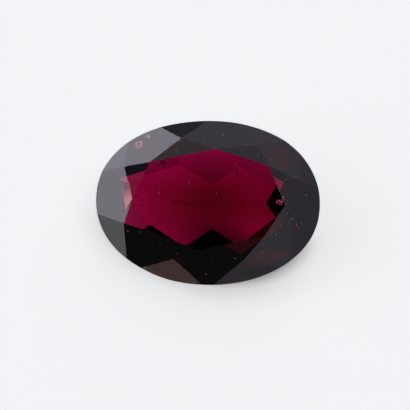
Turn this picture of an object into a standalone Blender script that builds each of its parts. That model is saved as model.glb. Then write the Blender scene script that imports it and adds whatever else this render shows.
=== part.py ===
# A faceted oval garnet: one clear stone, ground from a single crystal.
#
# The stone is cut the way a lapidary cuts one. It starts as an oval blank with
# its table up, and every facet is one flat cut. The cuts are written as a
# cutting diagram: an azimuth round the stone, a slope from the girdle's plane
# and a depth. All lengths of the diagram are in millimetres and all angles in
# degrees. Azimuth 0 is the right end of the oval, 90 its far side, 180 its left
# end and 270 its near side. The finished stone is then laid on the small
# pavilion facet that carries it, so the table leans towards the near side.

import math

import bmesh
import bpy
from mathutils import Matrix, Vector

MM = 0.001

# Outline of the girdle, seen square on.
HALF_LENGTH = 4.03
HALF_WIDTH = 2.96
FULLNESS = 2.1  # 2 is a plain ellipse, more is a fuller oval
GIRDLE_SIDES = 144
# Slow waves left by the hand that shaped the blank: waves round the oval,
# share of the radius, azimuth of one crest.
OUTLINE_WAVES = ((3, 0.0050, 42.0), (4, 0.0030, 67.5), (5, 0.0020, 54.0))

# Heights over the middle plane of the girdle.
TABLE_HEIGHT = 0.88
GIRDLE_HALF = 0.13
BLANK_HALF = 2.6

# Crown. Each row belongs to one corner of the eight-sided table, clockwise from
# the right end: the corner's x and y, the azimuth and slope of the bezel facet
# that points at it, the slope of the star facet between it and the next corner,
# and the azimuth and slope of the break facet under that star.
CROWN = (
    ((2.75, -0.16), 356.0, 33.5, 19.0, 320.0, 46.5),
    ((2.02, -1.31), 303.0, 37.5, 20.0, 288.0, 48.5),
    ((-0.33, -1.84), 272.0, 34.0, 18.0, 256.0, 46.5),
    ((-2.12, -1.19), 236.0, 33.5, 15.5, 213.5, 48.0),
    ((-2.74, -0.08), 179.0, 34.0, 16.0, 138.0, 46.5),
    ((-2.14, 1.30), 118.5, 36.5, 17.5, 99.5, 44.5),
    ((0.23, 1.84), 86.0, 35.0, 18.5, 69.5, 46.0),
    ((2.14, 1.26), 49.0, 35.5, 18.0, 31.0, 44.5),
)

# Pavilion: azimuth, slope and distance of the facet's plane from the centre.
# Four flat facets meet in a short ridge, the keel, in place of a point.
KEEL_FACETS = {
    "near left": (243.6, 27.8, 1.822),
    "near right": (288.7, 24.6, 1.893),
    "far left": (113.3, 27.3, 1.823),
    "far right": (75.2, 26.7, 1.887),
}
# Eight more mains stand round them, most of them steeper. The left one is cut far
# flatter than the right one, so the ridge runs further to the right than to the left.
MAIN_FACETS = {
    "right": (5.3, 41.8, 2.735),
    "far right": (71.4, 37.5, 2.037),
    "far": (94.5, 37.3, 1.816),
    "far left": (111.6, 38.0, 1.960),
    "left": (197.8, 25.7, 2.023),
    "near left": (241.8, 35.9, 1.958),
    "near": (266.8, 36.2, 1.869),
    "near right": (297.9, 39.0, 2.153),
}
# Where each main would end on the outline. Between two ends stand two small steep
# facets along the girdle, all ground at one slope, each this share of the way from
# the end that it belongs to.
MAIN_ENDS = (0.0, 48.0, 90.0, 132.0, 180.0, 228.0, 270.0, 312.0)
BREAK_SHARE = 0.27
BREAK_SLOPE = 45.0

RESTS_ON = "near left"
WELD = 0.002


def outline_point(azimuth, height=0.0):
    """Point on the girdle's outline."""
    angle = math.radians(azimuth)
    cosine, sine = math.cos(angle), math.sin(angle)
    bend = 2.0 / FULLNESS
    swell = 1.0
    for waves, share, crest in OUTLINE_WAVES:
        swell += share * math.cos(waves * (angle - math.radians(crest)))
    return Vector((
        HALF_LENGTH * math.copysign(abs(cosine) ** bend, cosine) * swell,
        HALF_WIDTH * math.copysign(abs(sine) ** bend, sine) * swell,
        height,
    ))


def outline_normal(azimuth):
    """Level direction square to the outline, outwards."""
    along = outline_point(azimuth + 1.0) - outline_point(azimuth - 1.0)
    return Vector((along.y, -along.x, 0.0)).normalized()


def crown_normal(azimuth, slope):
    """Outward direction of a crown facet."""
    tilt, turn = math.radians(slope), math.radians(azimuth)
    return Vector((
        math.sin(tilt) * math.cos(turn),
        math.sin(tilt) * math.sin(turn),
        math.cos(tilt),
    ))


def pavilion_normal(azimuth, slope):
    """Outward direction of a pavilion facet."""
    normal = crown_normal(azimuth, slope)
    return Vector((normal.x, normal.y, -normal.z))


def grind(stone, point, normal):
    """Grinds the stone flat at a plane: what lies outside is removed and the cut closed."""
    everything = stone.verts[:] + stone.edges[:] + stone.faces[:]
    cut = bmesh.ops.bisect_plane(
        stone, geom=everything, dist=1e-6, plane_co=point, plane_no=normal, clear_outer=True
    )
    rim = [item for item in cut["geom_cut"] if isinstance(item, bmesh.types.BMEdge)]
    if rim:
        bmesh.ops.holes_fill(stone, edges=rim)


def oval_blank(stone):
    """An upright cylinder whose rim is moved out to the stone's outline."""
    bmesh.ops.create_cone(
        stone, cap_ends=True, segments=GIRDLE_SIDES,
        radius1=1.0, radius2=1.0, depth=2.0 * BLANK_HALF,
    )
    for vertex in stone.verts:
        azimuth = math.degrees(math.atan2(vertex.co.y, vertex.co.x))
        vertex.co = outline_point(azimuth, vertex.co.z)


def meeting_point(*planes):
    """The point shared by three planes, each given as a point and a direction."""
    rows = Matrix([normal for point, normal in planes])
    return rows.inverted() @ Vector([normal.dot(point) for point, normal in planes])


def cut_crown(stone):
    grind(stone, Vector((0.0, 0.0, TABLE_HEIGHT)), Vector((0.0, 0.0, 1.0)))
    corners = [Vector((*row[0], TABLE_HEIGHT)) for row in CROWN]
    bezels = [(corner, crown_normal(row[1], row[2])) for corner, row in zip(corners, CROWN)]
    for number, row in enumerate(CROWN):
        following = (number + 1) % len(CROWN)
        start, end = corners[number], corners[following]
        side = (end - start).normalized()
        outward = Vector((-side.y, side.x, 0.0))
        slope = math.radians(row[3])
        star_normal = outward * math.sin(slope) + Vector((0.0, 0.0, math.cos(slope)))
        star = (start, star_normal)
        tip = meeting_point(star, bezels[number], bezels[following])
        grind(stone, *bezels[number])
        grind(stone, *star)
        grind(stone, tip, crown_normal(row[4], row[5]))


def cut_pavilion(stone):
    for azimuth, slope, distance in (*KEEL_FACETS.values(), *MAIN_FACETS.values()):
        normal = pavilion_normal(azimuth, slope)
        grind(stone, normal * distance, normal)
    tilt = math.radians(BREAK_SLOPE)
    for number, start in enumerate(MAIN_ENDS):
        span = (MAIN_ENDS[(number + 1) % len(MAIN_ENDS)] - start) % 360.0
        for share in (BREAK_SHARE, 1.0 - BREAK_SHARE):
            azimuth = start + span * share
            normal = outline_normal(azimuth) * math.sin(tilt) - Vector((0.0, 0.0, math.cos(tilt)))
            grind(stone, outline_point(azimuth, -GIRDLE_HALF), normal)


def garnet_material():
    material = bpy.data.materials.new("garnet")
    material.use_nodes = True
    shader = material.node_tree.nodes["Principled BSDF"]
    shader.inputs["Base Color"].default_value = (0.25, 0.0, 0.03, 1.0)
    shader.inputs["Roughness"].default_value = 0.02
    shader.inputs["Metallic"].default_value = 0.0
    shader.inputs["IOR"].default_value = 1.76
    shader.inputs["Transmission Weight"].default_value = 1.0
    material.diffuse_color = (0.25, 0.0, 0.03, 1.0)
    return material


def lay_down(gem):
    """Turns the stone onto the facet that carries it and centres it over the origin."""
    azimuth, slope, _ = KEEL_FACETS[RESTS_ON]
    turn = pavilion_normal(azimuth, slope).rotation_difference(Vector((0.0, 0.0, -1.0)))
    long_axis = turn @ Vector((1.0, 0.0, 0.0))
    level = Matrix.Rotation(-math.atan2(long_axis.y, long_axis.x), 4, "Z")
    leaning = level @ turn.to_matrix().to_4x4()
    points = [leaning @ vertex.co for vertex in gem.data.vertices]
    low = Vector([min(point[axis] for point in points) for axis in range(3)])
    high = Vector([max(point[axis] for point in points) for axis in range(3)])
    middle = (low + high) / 2.0
    gem.rotation_mode = "QUATERNION"
    gem.rotation_quaternion = leaning.to_quaternion()
    gem.location = (-middle.x, -middle.y, -low.z)


def build():
    for item in list(bpy.data.objects):
        bpy.data.objects.remove(item, do_unlink=True)

    stone = bmesh.new()
    oval_blank(stone)
    cut_crown(stone)
    cut_pavilion(stone)
    bmesh.ops.remove_doubles(stone, verts=stone.verts[:], dist=WELD)
    bmesh.ops.dissolve_degenerate(stone, edges=stone.edges[:], dist=WELD)
    bmesh.ops.recalc_face_normals(stone, faces=stone.faces[:])
    bmesh.ops.scale(stone, vec=(MM, MM, MM), verts=stone.verts[:])

    mesh = bpy.data.meshes.new("faceted_garnet")
    stone.to_mesh(mesh)
    stone.free()
    mesh.materials.append(garnet_material())

    gem = bpy.data.objects.new("faceted_garnet", mesh)
    collection = bpy.data.collections.new("oval_garnet")
    bpy.context.scene.collection.children.link(collection)
    collection.objects.link(gem)
    lay_down(gem)


build()
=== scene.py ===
# %% [markdown]
# # A faceted oval garnet
# The stone is a loose cut garnet, eight millimetres long, lying on a milky sheet. This
# lesson dresses its plain solid: the deep red body, the ground girdle, what the crystal
# grew round, the small marks on its facets, and the light that brings all of it out.
# The solid comes in as a fixed frame, in metres, and nothing here changes its size.

import math
import random

import bmesh
import bpy
from mathutils import Matrix, Quaternion, Vector
from mathutils.bvhtree import BVHTree


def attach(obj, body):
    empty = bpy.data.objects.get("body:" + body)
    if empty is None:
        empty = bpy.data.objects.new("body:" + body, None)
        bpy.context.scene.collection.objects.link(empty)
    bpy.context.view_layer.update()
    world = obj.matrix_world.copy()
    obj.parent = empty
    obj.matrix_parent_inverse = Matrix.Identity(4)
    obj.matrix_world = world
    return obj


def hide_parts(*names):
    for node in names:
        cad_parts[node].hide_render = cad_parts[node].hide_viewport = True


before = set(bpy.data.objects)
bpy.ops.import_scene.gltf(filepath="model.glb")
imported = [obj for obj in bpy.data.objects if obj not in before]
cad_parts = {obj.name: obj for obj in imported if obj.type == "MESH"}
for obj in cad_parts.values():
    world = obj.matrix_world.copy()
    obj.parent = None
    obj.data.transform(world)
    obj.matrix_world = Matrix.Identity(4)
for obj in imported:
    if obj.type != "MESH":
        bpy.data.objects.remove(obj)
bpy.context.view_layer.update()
MM = 0.001
stone_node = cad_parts["faceted_garnet"]
print("solid:", len(stone_node.data.vertices), "corners,", len(stone_node.data.polygons), "triangles")

# %% [markdown]
# ## The stone's own directions
# A cutter measures everything on a stone from its table and its long axis, but this
# stone lies tilted on one pavilion facet. A matrix that turns the cutter's directions
# into the room's lets every later cell speak of the stone's left, far side or table,
# and still put things in the right place.

# %% From the cutter's directions to the room's
CARRYING_AZIMUTH = 243.6
CARRYING_SLOPE = 27.8
TABLE_HEIGHT = 0.88
TABLE_SLACK = 0.002
TABLE_RIGHT_CORNER = Vector((2.75, -0.16))
TABLE_LEFT_CORNER = Vector((-2.74, -0.08))


def facet_direction(azimuth, slope):
    """Outward direction of a crown facet, in the stone's own directions."""
    tilt, turn = math.radians(slope), math.radians(azimuth)
    return Vector((math.sin(tilt) * math.cos(turn), math.sin(tilt) * math.sin(turn), math.cos(tilt)))


carrying = facet_direction(CARRYING_AZIMUTH, CARRYING_SLOPE)
carrying.z = -carrying.z
turn = carrying.rotation_difference(Vector((0.0, 0.0, -1.0))).to_matrix()
long_axis = turn @ Vector((1.0, 0.0, 0.0))
turn = Matrix.Rotation(-math.atan2(long_axis.y, long_axis.x), 3, "Z") @ turn

upright = [turn.transposed() @ vertex.co / MM for vertex in stone_node.data.vertices]
table_level = max(point.z for point in upright)
table_rim = [point for point in upright if point.z > table_level - TABLE_SLACK]
right_end = max(table_rim, key=lambda point: point.x)
left_end = min(table_rim, key=lambda point: point.x)
shift = ((right_end.xy - TABLE_RIGHT_CORNER) + (left_end.xy - TABLE_LEFT_CORNER)) / 2.0
centre = turn @ Vector((shift.x, shift.y, table_level - TABLE_HEIGHT)) * MM
print("middle of the girdle in mm:", [round(value / MM, 3) for value in centre])
print("misfit of the two ends in mm:", round((right_end.xy - TABLE_RIGHT_CORNER - shift).length, 4))

# %% [markdown]
# ## The camera
# Small stones are photographed from far back through a long lens, so that the outline
# isn't stretched. The camera looks at the table almost square on, seven degrees from
# its near side, and is turned a little so that the long axis drops to the right.

# %% Place the camera
VIEW_FROM_TABLE = math.radians(7.0)
ROLL = math.radians(1.3)
FRAME_WIDTH = 14.76 * MM
CAMERA_DISTANCE = 0.30
AIM_RIGHT = -0.119 * MM
AIM_UP = -0.097 * MM

level_up = Vector((0.0, math.cos(VIEW_FROM_TABLE), math.sin(VIEW_FROM_TABLE)))
camera_right = turn @ (Vector((1.0, 0.0, 0.0)) * math.cos(ROLL) + level_up * math.sin(ROLL))
camera_up = turn @ (Vector((-1.0, 0.0, 0.0)) * math.sin(ROLL) + level_up * math.cos(ROLL))
camera_back = camera_right.cross(camera_up)
aim = centre + camera_right * AIM_RIGHT + camera_up * AIM_UP

lens = bpy.data.cameras.new("long_lens")
lens.sensor_fit = "HORIZONTAL"
lens.lens = lens.sensor_width * CAMERA_DISTANCE / FRAME_WIDTH
lens.clip_start = 0.01
lens.clip_end = 20.0
camera = bpy.data.objects.new("camera", lens)
bpy.context.scene.collection.objects.link(camera)
camera.matrix_world = Matrix.Translation(aim + camera_back * CAMERA_DISTANCE) @ Matrix(
    (camera_right, camera_up, camera_back)
).transposed().to_4x4()
bpy.context.scene.camera = camera
elevation = math.degrees(math.asin(camera_back.z))
print("camera looks down", round(elevation, 1), "degrees, lens", round(lens.lens), "mm")

# %% [markdown]
# ## Small helpers for shaders
# A material is a graph of nodes. It could be built by hand in the shader editor, but a
# script keeps every value in sight. These helpers add a node, set its plain values and
# join sockets, so the cells below read as a list of what each finish is made of.

# %% Node helpers


def new_material(name):
    """A material with an empty graph, and its output node."""
    material = bpy.data.materials.new(name)
    material.use_nodes = True
    material.node_tree.nodes.clear()
    return material, add(material, "ShaderNodeOutputMaterial")


def add(material, kind, sockets=None, **settings):
    """A new node with its settings and the values of its sockets."""
    node = material.node_tree.nodes.new(kind)
    for name, value in settings.items():
        setattr(node, name, value)
    for name, value in (sockets or {}).items():
        node.inputs[name].default_value = value
    return node


def join(material, source, target):
    """A link from an output socket to an input socket."""
    material.node_tree.links.new(source, target)


def fade(material, source, start, end, low, high):
    """A value that goes smoothly from low to high while the source goes from start to end."""
    ramp = add(material, "ShaderNodeMapRange", {
        "From Min": start, "From Max": end, "To Min": low, "To Max": high,
    }, interpolation_type="SMOOTHSTEP")
    join(material, source, ramp.inputs["Value"])
    return ramp.outputs["Result"]


def combine(material, operation, first, second):
    """The result of a maths operation on two values."""
    result = add(material, "ShaderNodeMath", operation=operation)
    join(material, first, result.inputs[0])
    join(material, second, result.inputs[1])
    return result.outputs["Value"]


print("helpers for shaders:", [helper.__name__ for helper in (new_material, add, join, fade, combine)])

# %% [markdown]
# ## The glow of the milky sheet
# The stone lies on a small sheet of milky acrylic with a matt top, which photographers
# of gems like because some of its white comes from below and shines up through the
# stone. A real sheet would be lit right through, and a real garnet would throw its own
# coloured light and shade on it. That takes many samples to render cleanly, so the
# sheet has a soft glow of its own here, shaped by ovals: full under the stone and weaker
# away from it, with two dark ovals that shade the red of the table. A dark ring stands
# for the shadow along the stone's near edge. It fades out under the stone, because from
# behind a whole ring would look painted on.

# %% Shape of the glow
SHEET_WHITE = (0.86, 0.87, 0.88, 1.0)
GLOW_MIDDLE = (0.0, 0.0)
GLOW_RADII = (3.3, 2.5)
GLOW_EDGE = (0.6, 1.15)
GLOW_INSIDE = 1.01
GLOW_OUTSIDE = 0.66
# Each dark oval has a middle, its radii and the share of the glow left in its middle.
SHADES = (
    ((0.50, 1.13), (2.03, 0.94), 0.59),
    ((1.12, -0.59), (2.59, 1.63), 0.12),
)
CONTACT_MIDDLE = (0.4, 0.42)
CONTACT_RADII = (3.07, 2.14)
CONTACT_INNER_EDGE = (0.84, 0.97)
CONTACT_OUTER_EDGE = (0.98, 1.39)
CONTACT_DEEPEST = 0.13
CONTACT_FADE = (-1.3 * MM, 0.6 * MM)


def oval_reach(material, place, middle, radii):
    """How far a point of the sheet is from an oval's middle, in shares of its radii."""
    oval = add(material, "ShaderNodeMapping", {
        "Location": (-middle[0] / radii[0], -middle[1] / radii[1], 0.0),
        "Scale": (1.0 / (radii[0] * MM), 1.0 / (radii[1] * MM), 1.0),
    })
    reach = add(material, "ShaderNodeVectorMath", operation="LENGTH")
    join(material, place, oval.inputs["Vector"])
    join(material, oval.outputs["Vector"], reach.inputs[0])
    return reach.outputs["Value"]


def contact_shade(material, place):
    """The share of the glow left by the shadow along the stone's near edge."""
    rim = oval_reach(material, place, CONTACT_MIDDLE, CONTACT_RADII)
    ring = combine(
        material, "MAXIMUM",
        fade(material, rim, *CONTACT_INNER_EDGE, 1.0, CONTACT_DEEPEST),
        fade(material, rim, *CONTACT_OUTER_EDGE, 0.0, 1.0),
    )
    parts = add(material, "ShaderNodeSeparateXYZ")
    join(material, place, parts.inputs["Vector"])
    return combine(material, "MAXIMUM", ring, fade(material, parts.outputs["Y"], *CONTACT_FADE, 0.0, 1.0))


def sheet_glow(material, place):
    """Strength of the sheet's own light at a point of it."""
    middle_reach = oval_reach(material, place, GLOW_MIDDLE, GLOW_RADII)
    strength = fade(material, middle_reach, *GLOW_EDGE, GLOW_INSIDE, GLOW_OUTSIDE)
    strength = combine(material, "MULTIPLY", strength, contact_shade(material, place))
    for middle, radii, deepest in SHADES:
        shade = fade(material, oval_reach(material, place, middle, radii), 0.0, 1.0, deepest, 1.0)
        strength = combine(material, "MULTIPLY", strength, shade)
    return strength


print("glow under the stone and away from it:", GLOW_INSIDE, GLOW_OUTSIDE, "dark ovals:", len(SHADES))

# %% [markdown]
# ## The sheet in two parts
# The facets low at the front of a stone mirror the sheet before it. A photographer who
# wants them dark lays a black card there, just out of the picture. The same is done
# here without a card: the sheet is cut along a few straight lines, and the part in
# front of the stone is kept out of mirror reflections. Both parts have one finish, with
# a very fine tooth, so the joint doesn't show.

# %% Milky sheet
SHEET_HALF = 30.0
SHEET_GAP = 0.003 * MM
TOOTH_SCALE = 9000.0
TOOTH_STRENGTH = 0.05
TOOTH_HEIGHT = 0.01 * MM
FAR_LEFT, FAR_RIGHT = (-SHEET_HALF, SHEET_HALF), (SHEET_HALF, SHEET_HALF)
NEAR_LEFT, NEAR_RIGHT = (-SHEET_HALF, -SHEET_HALF), (SHEET_HALF, -SHEET_HALF)
FRONT_LEFT, FRONT_RIGHT = (-1.6, -2.0), (3.2, -0.9)
CUT_LEFT, CUT_RIGHT = (-14.0, -SHEET_HALF), (SHEET_HALF, -16.0)
MAIN_PART = (FAR_LEFT, NEAR_LEFT, CUT_LEFT, FRONT_LEFT, FRONT_RIGHT, CUT_RIGHT, FAR_RIGHT)
FRONT_PART = (FRONT_LEFT, CUT_LEFT, NEAR_RIGHT, CUT_RIGHT, FRONT_RIGHT)


def sheet_finish():
    """Matt milky acrylic that glows."""
    material, output = new_material("milky_acrylic")
    place = add(material, "ShaderNodeTexCoord").outputs["Object"]
    shader = add(material, "ShaderNodeBsdfPrincipled", {
        "Base Color": SHEET_WHITE,
        "Roughness": 0.8,
        "Specular IOR Level": 0.25,
        "Emission Color": SHEET_WHITE,
    })
    tooth_noise = add(material, "ShaderNodeTexNoise", {"Scale": TOOTH_SCALE, "Detail": 3.0})
    tooth = add(material, "ShaderNodeBump", {"Strength": TOOTH_STRENGTH, "Distance": TOOTH_HEIGHT})
    join(material, sheet_glow(material, place), shader.inputs["Emission Strength"])
    join(material, place, tooth_noise.inputs["Vector"])
    join(material, tooth_noise.outputs["Fac"], tooth.inputs["Height"])
    join(material, tooth.outputs["Normal"], shader.inputs["Normal"])
    join(material, shader.outputs["BSDF"], output.inputs["Surface"])
    return material


def sheet_part(name, corners, finish):
    """One flat part of the sheet, from its corners in millimetres."""
    mesh = bpy.data.meshes.new(name)
    points = [(right * MM, back * MM, 0.0) for right, back in corners]
    mesh.from_pydata(points, [], [list(range(len(points)))])
    mesh.materials.append(finish)
    part = bpy.data.objects.new(name, mesh)
    bpy.context.scene.collection.objects.link(part)
    part.location.z = -SHEET_GAP
    return part


milky = sheet_finish()
sheet_part("sheet", MAIN_PART, milky)
front = sheet_part("sheet_front", FRONT_PART, milky)
front.visible_glossy = False
print("sheet", 2 * SHEET_HALF, "mm square, in two parts")

# %% [markdown]
# ## Studio light
# Polished facets are small mirrors: each shows one patch of the room. So the light is
# planned by direction. A broad strong panel at the left greys the left facets, dim ones
# behind, above, below and at the right give the other facets their greys, and the front
# stays nearly dark. No panel stands where the table mirrors, so the table is clear. One
# studio lamp would light the sheet and the facets together, and then neither could be
# set alone. So these panels are seen by polished surfaces only. Three large soft lights
# that only matt surfaces see, with the sheet's own glow, give its even white.

# %% Panels of light
ROOM_WHITE = (0.955, 0.98, 1.0)
COOL = (0.91, 0.86, 1.0)
WARM = (1.0, 0.83, 0.90)
BROWN = (1.0, 0.62, 0.60)
NAVY = (0.65, 0.50, 1.0)
ROOM_TINT = (0.87, 0.80, 1.0, 1.0)
ROOM_DIMNESS = 0.008
camera_side = math.degrees(math.atan2(camera_back.y, camera_back.x)) + 90.0


def panel(name, azimuths, heights, distance, radiance, seen_by="polish", colour=COOL):
    """A flat soft light that fills a range of directions, as seen from the stone.

    Azimuth 0 is to the camera's right and 90 straight behind the stone. seen_by is
    "polish" for a panel that only shows in polished surfaces, or "matt".
    """
    light = bpy.data.lights.new(name, "AREA")
    light.shape = "RECTANGLE"
    light.size = 2.0 * distance * math.tan(math.radians((azimuths[1] - azimuths[0]) / 2.0))
    light.size_y = 2.0 * distance * math.tan(math.radians((heights[1] - heights[0]) / 2.0))
    light.energy = radiance * math.pi * light.size * light.size_y
    light.color = colour
    lamp = bpy.data.objects.new(name, light)
    bpy.context.scene.collection.objects.link(lamp)
    around = math.radians((azimuths[0] + azimuths[1]) / 2.0 + camera_side)
    lift = math.radians((heights[0] + heights[1]) / 2.0)
    away = Vector((
        math.cos(lift) * math.cos(around),
        math.cos(lift) * math.sin(around),
        math.sin(lift),
    ))
    facing = away.to_track_quat("Z", "Y").to_matrix().to_4x4()
    lamp.matrix_world = Matrix.Translation(centre + away * distance) @ facing
    lamp.visible_camera = False
    lamp.visible_diffuse = seen_by != "polish"
    lamp.visible_glossy = seen_by != "matt"
    lamp.visible_transmission = seen_by != "matt"
    return lamp


panel("key", (140.0, 214.0), (1.0, 41.0), 0.30, 2.32)
panel("fill_front", (-62.0, -26.0), (-2.0, 62.0), 0.30, 0.40)
panel("dim_front", (-128.0, -63.0), (-3.0, 46.0), 0.33, 0.038)
panel("dim_left", (184.0, 222.0), (43.0, 60.0), 0.33, 0.13, colour=NAVY)
panel("low_right", (-24.0, -4.0), (-8.0, 2.0), 0.30, 0.30)
panel("below_right", (-62.0, -30.0), (-30.0, -9.0), 0.30, 0.30)
panel("below_front", (-98.0, -68.0), (-32.0, -14.0), 0.30, 0.55, colour=BROWN)
panel("fill_right", (-2.0, 58.0), (14.0, 76.0), 0.31, 0.33)
panel("fill_back", (67.0, 101.0), (12.0, 50.0), 0.32, 0.45)
panel("back_wall", (105.0, 126.0), (28.0, 47.0), 0.33, 0.52)
panel("gap", (112.0, 130.0), (8.0, 25.0), 0.33, 0.2)
panel("warm_wall", (148.0, 170.0), (57.0, 73.0), 0.30, 0.42, colour=WARM)
panel("high_wall", (100.0, 128.0), (66.0, 80.0), 0.30, 0.40)
panel("overhead", (100.0, 180.0), (55.0, 115.0), 0.60, 0.64, seen_by="matt", colour=ROOM_WHITE)
panel("near_left", (180.0, 240.0), (15.0, 50.0), 0.60, 0.64, seen_by="matt", colour=ROOM_WHITE)
panel("behind", (60.0, 120.0), (15.0, 55.0), 0.60, 0.64, seen_by="matt", colour=ROOM_WHITE)

world = bpy.data.worlds.new("room")
world.use_nodes = True
background = world.node_tree.nodes["Background"]
background.inputs["Color"].default_value = ROOM_TINT
background.inputs["Strength"].default_value = ROOM_DIMNESS
bpy.context.scene.world = world
bpy.context.scene.view_settings.view_transform = "Standard"

# %% [markdown]
# ## The garnet's body
# Red garnet is clear. What makes it look nearly black is its depth of colour: white
# light that crosses the three millimetres from table to keel loses all of its green,
# nearly all of its blue and most of its red. A tinted surface would be as dark at the
# thin edge as in the middle. So the surface is plain polished glass of garnet's
# refractive index, and the colour is in the volume behind it.

# %% Garnet
GARNET_INDEX = 1.76
GARNET_DEPTH = 3500.0
GARNET_TINT = (0.797, 0.0, 0.53, 1.0)


def garnet_finish(name, roughness):
    """Garnet with its colour in the volume."""
    material, output = new_material(name)
    shader = add(material, "ShaderNodeBsdfPrincipled", {
        "Base Color": (1.0, 1.0, 1.0, 1.0),
        "IOR": GARNET_INDEX,
        "Transmission Weight": 1.0,
        "Roughness": roughness,
    })
    colour = add(material, "ShaderNodeVolumeAbsorption", {"Color": GARNET_TINT, "Density": GARNET_DEPTH})
    join(material, shader.outputs["BSDF"], output.inputs["Surface"])
    join(material, colour.outputs["Volume"], output.inputs["Volume"])
    return material


polished = garnet_finish("polished_garnet", 0.0)
ground = garnet_finish("ground_garnet", 0.35)
print("finishes:", polished.name, "and", ground.name, "of refractive index", GARNET_INDEX)

# %% [markdown]
# ## The stone
# The solid's facets are right as they are, so nothing is modelled anew. A copy of the
# solid has its triangles joined to whole facets and takes the finishes: polished
# everywhere, and finely ground on the narrow band of the girdle, which cutters of
# small stones leave unpolished.

# %% Dress the stone
GIRDLE_LEAN = 0.05
SAME_CORNER = 0.001 * MM
SAME_FACET = math.radians(0.3)

gem_mesh = stone_node.data.copy()
gem_mesh.name = "garnet_stone"
gem_mesh.materials.clear()
gem_mesh.materials.append(polished)
gem_mesh.materials.append(ground)
table_direction = turn @ Vector((0.0, 0.0, 1.0))
cut = bmesh.new()
cut.from_mesh(gem_mesh)
bmesh.ops.remove_doubles(cut, verts=cut.verts[:], dist=SAME_CORNER)
bmesh.ops.dissolve_limit(cut, angle_limit=SAME_FACET, verts=cut.verts[:], edges=cut.edges[:])
for face in cut.faces:
    face.smooth = False
    face.material_index = 1 if abs(face.normal.dot(table_direction)) < GIRDLE_LEAN else 0
print("facets:", len(cut.faces), "of them girdle:", sum(face.material_index for face in cut.faces))
cut.to_mesh(gem_mesh)
cut.free()
gem = bpy.data.objects.new("garnet_stone", gem_mesh)
bpy.context.scene.collection.objects.link(gem)
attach(gem, "root")
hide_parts("faceted_garnet")

# %% [markdown]
# ## What the stone carries
# Under a lens no cut stone is clean. This one grew round a few dark crystals, has a
# rosette of tiny bubbles that the polish has opened near its left shoulder, a bruise at
# the right corner of the table, and dust on its facets. Each mark could be modelled by
# hand, but there are about ninety, so they are noted as they are seen, so many
# millimetres right of and above the middle of the stone. A straight line from the camera
# finds the facet below such a place, and for what lies inside, the line is bent there as
# the garnet bends it. Marks on the surface get a faint painted glow, which stands for the
# light they catch and lifts them to the brightness that is seen.

# %% Find places on and in the stone
gem_tree = BVHTree.FromPolygons(
    [vertex.co.copy() for vertex in gem_mesh.vertices],
    [tuple(face.vertices) for face in gem_mesh.polygons],
)
RAY_START = 0.1
FLAT_GRAIN = 0.35
GRAIN_TURN = (0.0, 6.28)
GRAIN_STRETCH = (0.75, 1.3)
GRAIN_ROUGHNESS = (0.75, 1.1)
GRAIN_NOISE = 20000.0
DARKEST_SHARE = 0.55
rng = random.Random(11)


def seat(right, up, depth=0.0):
    """Where a mark seen at this place sits, and the direction out of its facet."""
    start = centre + (camera_right * right + camera_up * up) * MM + camera_back * RAY_START
    place, facet, _, _ = gem_tree.ray_cast(start, -camera_back)
    cosine = camera_back.dot(facet)
    inner = math.sqrt(1.0 - (1.0 - cosine * cosine) / GARNET_INDEX ** 2)
    bent = -camera_back / GARNET_INDEX + facet * (cosine / GARNET_INDEX - inner)
    return place + bent * depth * MM, facet


def grain(target, right, up, size, depth=0.0, flatness=FLAT_GRAIN):
    """Adds one small angular grain, pressed flat against its facet, to a mesh."""
    place, facet = seat(right, up, depth)
    turned = facet.to_track_quat("Z", "Y") @ Quaternion((0.0, 0.0, 1.0), rng.uniform(*GRAIN_TURN))
    made = bmesh.ops.create_icosphere(target, subdivisions=1, radius=1.0)["verts"]
    stretch = rng.uniform(*GRAIN_STRETCH)
    for vertex in made:
        rough = vertex.co * rng.uniform(*GRAIN_ROUGHNESS)
        rough = Vector((rough.x * stretch, rough.y / stretch, rough.z * flatness))
        vertex.co = place + turned @ rough * size * MM


def piece(name, target, finish):
    """Makes an object of the mesh that rides on the stone."""
    mesh = bpy.data.meshes.new(name)
    target.to_mesh(mesh)
    target.free()
    mesh.materials.append(finish)
    made = bpy.data.objects.new(name, mesh)
    bpy.context.scene.collection.objects.link(made)
    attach(made, "root")
    print(name, "triangles:", len(mesh.polygons))
    return made


def scatter(name, marks, finish):
    """Makes a piece of grains on the polish, from marks of right, up and size."""
    made = bmesh.new()
    for right, up, size in marks:
        grain(made, right, up, size)
    return piece(name, made, finish)


def grain_finish(name, colour, roughness, glow=0.0, cover=1.0):
    """Matt broken or powdery matter, uneven from grain to grain; glow is painted light on it."""
    material, output = new_material(name)
    place = add(material, "ShaderNodeTexCoord")
    uneven = add(material, "ShaderNodeTexNoise", {"Scale": GRAIN_NOISE, "Detail": 2.0})
    tone = add(material, "ShaderNodeMixRGB", {
        "Color1": (*(DARKEST_SHARE * part for part in colour), 1.0),
        "Color2": (*colour, 1.0),
    })
    shader = add(material, "ShaderNodeBsdfPrincipled", {
        "Roughness": roughness, "Emission Strength": glow, "Alpha": cover,
    })
    join(material, place.outputs["Object"], uneven.inputs["Vector"])
    join(material, uneven.outputs["Fac"], tone.inputs["Fac"])
    join(material, tone.outputs["Color"], shader.inputs["Base Color"])
    join(material, tone.outputs["Color"], shader.inputs["Emission Color"])
    join(material, shader.outputs["BSDF"], output.inputs["Surface"])
    return material


table_middle = seat(0.0, 0.0)[0]
print("the table's height over the sheet at its middle in mm:", round(table_middle.z / MM, 2))

# %% [markdown]
# ## Dark crystals inside
# The black specks under the table are small crystals of another mineral that the
# garnet grew over, and they stand as shadows before the light that comes up through the
# stone. Each one is a rough grain at its own depth. They are seen softer than black, so
# the grains cover only about half of what lies behind them.

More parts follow.
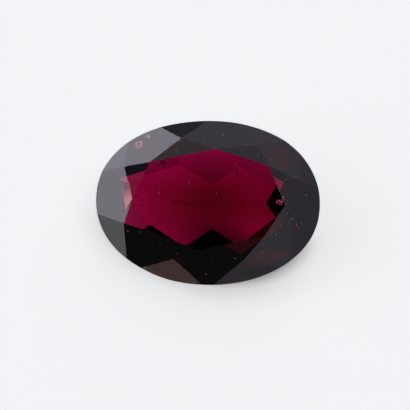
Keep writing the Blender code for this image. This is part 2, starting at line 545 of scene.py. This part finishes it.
# %% Inclusions
# Right, up, depth along the bent line of sight and size, in millimetres.
INCLUSIONS = (
    (-1.63, 1.43, 0.25, 0.105), (-1.79, 1.34, 0.3, 0.049), (-1.23, -0.01, 0.5, 0.063),
    (-1.16, 0.05, 0.55, 0.042), (-2.42, -0.12, 0.4, 0.045), (-2.58, 0.23, 0.35, 0.048),
    (-0.8, -0.06, 0.6, 0.048), (1.03, 1.05, 0.4, 0.063), (0.91, 1.16, 0.4, 0.035),
    (0.37, 0.37, 0.7, 0.063), (1.2, -0.04, 0.5, 0.042), (0.71, -0.49, 0.6, 0.031),
    (-0.05, 0.95, 0.5, 0.028),
)
MINERAL_COLOUR = (0.012, 0.004, 0.006)
MINERAL_COVER = 0.55
ROUND_GRAIN = 0.8

inclusions = bmesh.new()
for right, up, depth, size in INCLUSIONS:
    grain(inclusions, right, up, size, depth, flatness=ROUND_GRAIN)
piece("inclusions", inclusions, grain_finish("dark_mineral", MINERAL_COLOUR, 0.5, cover=MINERAL_COVER))

# %% [markdown]
# ## Opened bubbles
# On the upper left facet the polish has cut into a nest of bubbles. Their broken rims
# scatter light in every direction and look pink, with the garnet's own colour in them,
# while a few bare splinters beside them are nearly white. That scattered light is
# painted: the grains glow pink and nearly white.

# %% Bubbles and splinters
# Right, up and size in millimetres, as in the later lists of marks.
BUBBLES = (
    (-2.6, 2.13, 0.032), (-2.53, 2.19, 0.03), (-2.44, 2.18, 0.034), (-2.39, 2.1, 0.037),
    (-2.41, 2.01, 0.032), (-2.49, 1.95, 0.03), (-2.57, 1.98, 0.028), (-2.62, 2.06, 0.025),
    (-2.5, 2.08, 0.023), (-2.65, 1.9, 0.014), (-2.32, 1.94, 0.014), (-2.72, 2.04, 0.011),
    (-2.53, 2.03, 0.026), (-2.44, 2.06, 0.024), (-2.48, 2.13, 0.02), (-2.56, 2.08, 0.02),
)
SPLINTERS = (
    (-2.21, 2.42, 0.029), (-2.13, 2.38, 0.034), (-2.24, 2.33, 0.023), (-2.15, 2.29, 0.018),
    (-2.08, 2.47, 0.013),
    (-2.4, 2.15, 0.018), (-2.57, 1.98, 0.012), (-2.43, 1.99, 0.012),
)

# The pink of the rims and the white of the splinters are painted light, glowing on the grains.
scatter("opened_bubbles", BUBBLES, grain_finish("broken_rim_painted_glow", (0.95, 0.45, 0.62), 0.6, glow=0.6))
scatter("splinters", SPLINTERS, grain_finish("splinter_painted_highlight", (0.85, 0.74, 0.80), 0.6, glow=0.8))

# %% [markdown]
# ## A feather at the left corner
# Jewellers call a flat healed crack a feather. One at the left corner of the table
# throws light back, so it shows as a clean-edged pale pink patch that fades out upwards.
# A film inside the stone would have to be placed by how the facets bend its picture. A
# very thin skin, held just over the facets, sits where it is seen, so it is made that way.
# Its pink is painted reflection: the skin glows, with a plain gradient.

# %% Feather
FEATHER_RIM = ((-3.03, 0.73), (-2.85, 0.75), (-2.74, 0.12), (-2.96, -0.27), (-3.05, 0.23))
FEATHER_LIFT = 0.03
FEATHER_FADE = (0.75, 0.35)
# The body colour is the skin's own; the bright and faint colours and the glow are painted reflection.
FEATHER_BODY = (0.10, 0.04, 0.05, 1.0)
FEATHER_BRIGHT = (0.54, 0.23, 0.27, 1.0)
FEATHER_FAINT = (0.17, 0.11, 0.125, 1.0)
FEATHER_GLOW = 0.85


def painted_feather_finish():
    """A dull skin whose painted glow, the light the feather throws back, gets weaker towards its far end.
    """
    material, output = new_material("feather_painted_reflection")
    place = add(material, "ShaderNodeTexCoord")
    parts = add(material, "ShaderNodeSeparateXYZ")
    share = add(material, "ShaderNodeMapRange", {"From Min": FEATHER_FADE[0], "From Max": FEATHER_FADE[1]})
    tone = add(material, "ShaderNodeMixRGB", {"Color1": FEATHER_FAINT, "Color2": FEATHER_BRIGHT})
    shader = add(material, "ShaderNodeBsdfPrincipled", {
        "Base Color": FEATHER_BODY, "Roughness": 0.6,
        "Specular IOR Level": 0.0, "Emission Strength": FEATHER_GLOW,
    })
    join(material, place.outputs["Generated"], parts.inputs["Vector"])
    join(material, parts.outputs["Y"], share.inputs["Value"])
    join(material, share.outputs["Result"], tone.inputs["Fac"])
    join(material, tone.outputs["Color"], shader.inputs["Emission Color"])
    join(material, shader.outputs["BSDF"], output.inputs["Surface"])
    return material


feather_painted_reflection = bmesh.new()
rim = []
for right, up in FEATHER_RIM:
    place, facet = seat(right, up)
    rim.append(feather_painted_reflection.verts.new(place + camera_back * FEATHER_LIFT * MM))
feather_painted_reflection.faces.new(rim)
bmesh.ops.triangulate(feather_painted_reflection, faces=feather_painted_reflection.faces[:])
piece("feather_painted_reflection", feather_painted_reflection, painted_feather_finish())

# %% [markdown]
# ## The bruised corner
# The right corner of the table has taken a knock. The broken garnet there is deep pink,
# because light reaches it through the stone, and a few chips beside it flash white. The
# pink and the white flashes are painted light, glowing on small grains.

# %% Bruise
BRUISE = (
    (2.47, -0.01, 0.04), (2.54, 0.06, 0.05), (2.6, -0.0, 0.05), (2.65, 0.08, 0.036),
    (2.56, -0.06, 0.034), (2.63, -0.08, 0.028), (2.44, 0.05, 0.024),
)
FLASHES = (
    (2.69, 0.18, 0.02), (2.65, 0.01, 0.016), (2.53, 0.03, 0.01), (2.73, 0.1, 0.009),
)

# The broken corner is real; its deep pink glow is painted light from through the stone.
scatter("bruised_corner", BRUISE, grain_finish("bruise_and_painted_glow", (0.60, 0.03, 0.16), 0.5, glow=0.3))
# The flashes are painted highlights: small grains that glow near white.
scatter("corner_flashes", FLASHES, grain_finish("painted_flash", (0.8, 0.66, 0.70), 0.5, glow=0.6))

# %% [markdown]
# ## Healed cracks
# Fine cracks that reach the surface show as dotted lines where the polish has crossed
# them. Grooves so fine would need a much denser mesh, so they are laid as rows of very
# small grains between the points that they join.

# %% Crack lines
CRACKS = (
    ((2.51, 0.62), (2.69, 0.75), (2.91, 0.87), (3.16, 0.95)),
    ((1.29, 1.85), (1.38, 1.99), (1.45, 2.11)),
    ((1.84, 2.48), (1.92, 2.53), (2.02, 2.57)),
    ((1.18, 2.06), (1.39, 2.08)),
)
CRACK_STEP = 0.035
CRACK_WANDER = 0.008
CRACK_GRAIN = (0.007, 0.014)

cracks = bmesh.new()
for line in CRACKS:
    for (right, up), (next_right, next_up) in zip(line, line[1:]):
        length = math.hypot(next_right - right, next_up - up)
        for step in range(int(length / CRACK_STEP) + 1):
            share = step * CRACK_STEP / length
            grain(
                cracks,
                right + (next_right - right) * share + rng.uniform(-CRACK_WANDER, CRACK_WANDER),
                up + (next_up - up) * share + rng.uniform(-CRACK_WANDER, CRACK_WANDER),
                rng.uniform(*CRACK_GRAIN),
            )
# The crack grains have their own colour and a very faint painted glow.
piece("crack_lines", cracks, grain_finish("crack_and_painted_glow", (0.36, 0.19, 0.24), 0.6, glow=0.08))

# %% [markdown]
# ## Dust
# Dust is never even. It is thickest on the lower right facets, with single specks
# elsewhere. The specks that can be made out are placed one by one, and sixty fainter
# ones by chance from a fixed start, so that every run gives the same stone. A faint speck
# is smaller than a point of the picture, so it only lifts it a little.

# %% Dust
DUST = (
    (3.01, -0.6, 0.02), (3.16, -0.82, 0.016), (3.34, -0.75, 0.014), (2.62, -0.85, 0.014),
    (2.29, -1.07, 0.017), (2.44, -1.14, 0.016), (2.83, -0.39, 0.02), (3.09, -0.42, 0.013),
    (2.91, -0.67, 0.012), (3.27, -0.96, 0.012), (3.52, 0.26, 0.016), (2.94, -0.24, 0.012),
    (-1.77, 0.48, 0.011), (-1.77, 0.33, 0.01), (-0.69, 0.69, 0.011), (-0.91, -0.13, 0.011),
    (-1.16, 1.88, 0.016), (-3.5, -0.06, 0.016), (-3.65, -0.93, 0.02), (-1.63, -2.44, 0.014),
    (-0.51, -2.91, 0.024), (-0.08, -2.58, 0.013), (0.96, 1.34, 0.011), (0.75, -0.6, 0.011),
    (0.53, 2.42, 0.017), (-2.89, -1.03, 0.016), (-2.46, -1.07, 0.012), (-3.32, 0.95, 0.012),
    (-3.18, 1.38, 0.012), (-3.07, -0.71, 0.013), (-2.06, 1.74, 0.013), (-1.59, 2.46, 0.012),
    (-1.02, 2.21, 0.012), (-0.12, 2.21, 0.012), (0.17, 2.03, 0.01), (1.79, 1.7, 0.012),
    (2.22, 1.52, 0.013), (2.62, 1.63, 0.01), (3.27, 0.91, 0.01), (-2.17, -1.83, 0.01),
    (0.96, -2.01, 0.013), (1.5, -2.15, 0.01), (1.93, -1.79, 0.012),
)
FAINT_SPECKS = 60
FAINT_REACH = (3.7, 2.6)
FAINT_SIZES = (0.004, 0.007)

dust = bmesh.new()
for right, up, size in DUST:
    grain(dust, right, up, size)
for _ in range(FAINT_SPECKS):
    reach, around = math.sqrt(rng.random()), rng.uniform(0.0, 2.0 * math.pi)
    right, up = FAINT_REACH[0] * reach * math.cos(around), FAINT_REACH[1] * reach * math.sin(around)
    grain(dust, right, up, rng.uniform(*FAINT_SIZES))
# The specks are real dust, with a faint painted glow for the light they catch.
piece("dust", dust, grain_finish("dust_and_painted_glow", (0.75, 0.70, 0.75), 0.8, glow=0.2))
